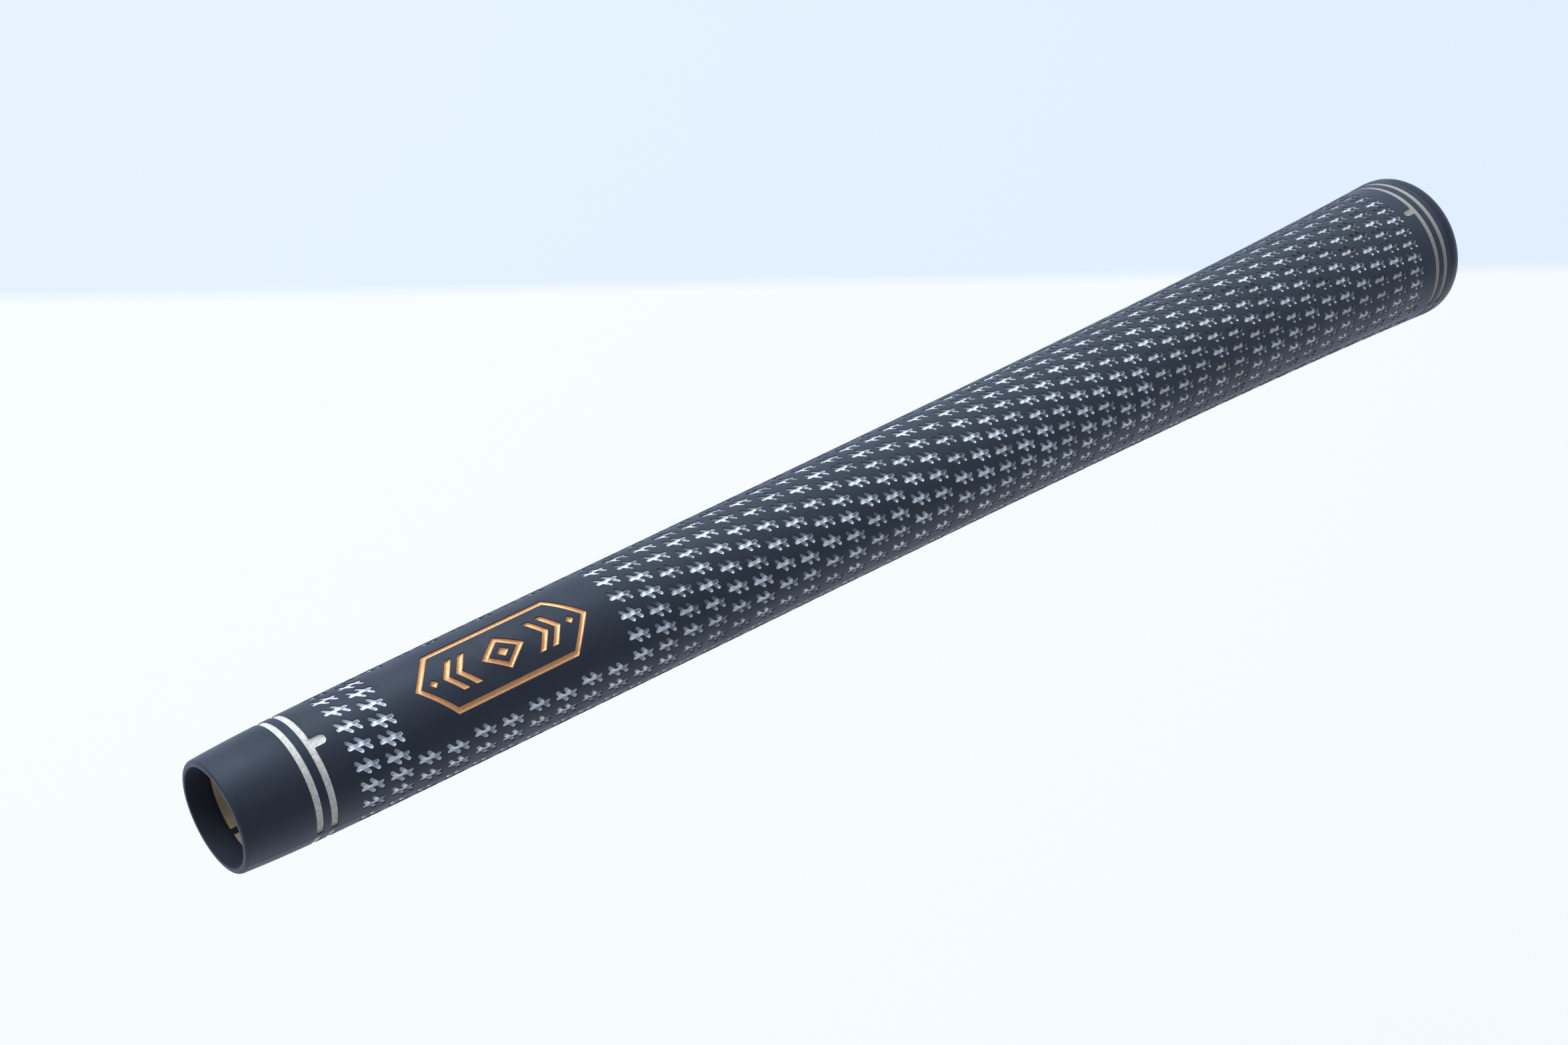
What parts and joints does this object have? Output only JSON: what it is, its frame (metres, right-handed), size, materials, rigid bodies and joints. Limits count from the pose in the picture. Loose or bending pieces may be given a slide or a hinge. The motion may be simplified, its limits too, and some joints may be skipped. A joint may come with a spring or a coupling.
{
  "type": "golf grip",
  "caption": "Tapered moulded rubber grip that slides over a golf shaft, with a vented butt cap, inner tape, painted index rings and an emblem panel.",
  "frame": {"origin": "centre of the open mouth, where the shaft enters", "axes": "+X along the bore towards the butt cap, +Z through the side that carries the index marks and the emblem, XY is the mould's parting plane"},
  "size_m": [0.259, 0.0272, 0.0272],
  "materials": {
    "sleeve_rubber": "satin",
    "cap_rubber": "satin",
    "adhesive_tape": "matte",
    "ring_paint": "satin",
    "emblem_paint": "satin",
    "tread_paint": "satin"
  },
  "bodies": {
    "root": {"grip_sleeve": "sleeve_rubber", "butt_cap": "cap_rubber", "grip_tape": "adhesive_tape", "mouth_ring_front_paint": "ring_paint", "mouth_ring_rear_paint": "ring_paint", "butt_ring_front_paint": "ring_paint", "butt_ring_rear_paint": "ring_paint", "emblem_frame_paint": "emblem_paint", "emblem_lozenge_paint": "emblem_paint", "emblem_chevron_paint": "emblem_paint"}
  },
  "joints": []
}
